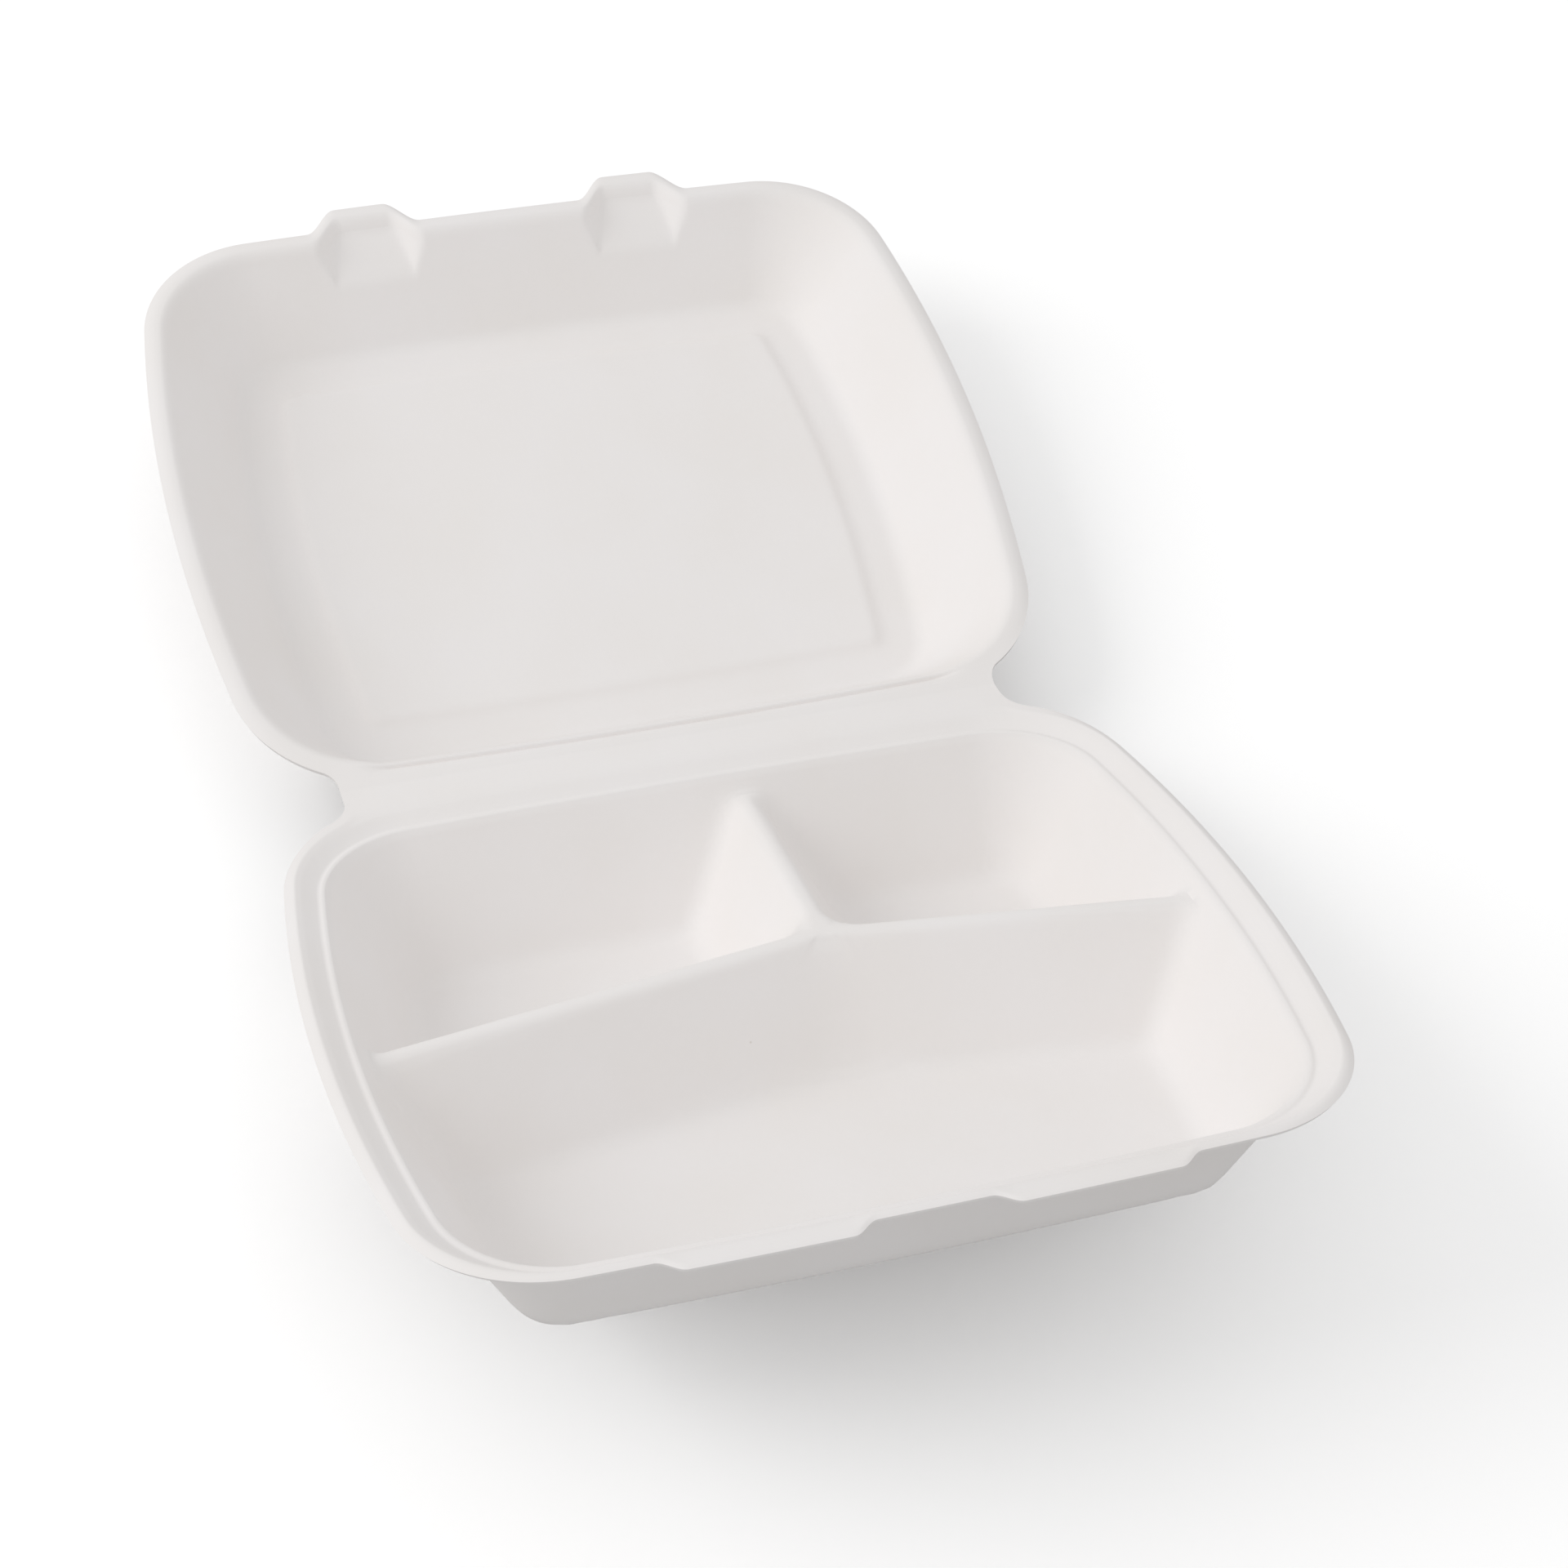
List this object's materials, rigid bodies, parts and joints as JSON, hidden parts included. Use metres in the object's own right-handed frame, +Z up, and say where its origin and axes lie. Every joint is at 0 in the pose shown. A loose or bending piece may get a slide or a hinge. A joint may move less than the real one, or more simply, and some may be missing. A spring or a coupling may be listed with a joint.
{
  "type": "clamshell food box",
  "caption": "Moulded fibre clamshell food box with a divided base, flanged rim, front tabs and a hinged lid with latches, lying open.",
  "frame": {"origin": "middle of the bounding box's underside, on the table that the open box lies on", "axes": "+X along the fold to the right, +Y from the base's front edge to the lid's far edge, +Z up"},
  "size_m": [0.24, 0.4276, 0.0879],
  "materials": {
    "fibre": "matte moulded fibre"
  },
  "bodies": {
    "base": {"base": "fibre"},
    "lid": {"lid": "fibre"}
  },
  "joints": [
    {"name": "lid_hinge", "type": "hinge", "parent": "base", "child": "lid", "pos_m": [0, -0.00619, 0.02695], "axis": [1, 0, 0], "range_deg": [-22.5, 157.5]}
  ]
}
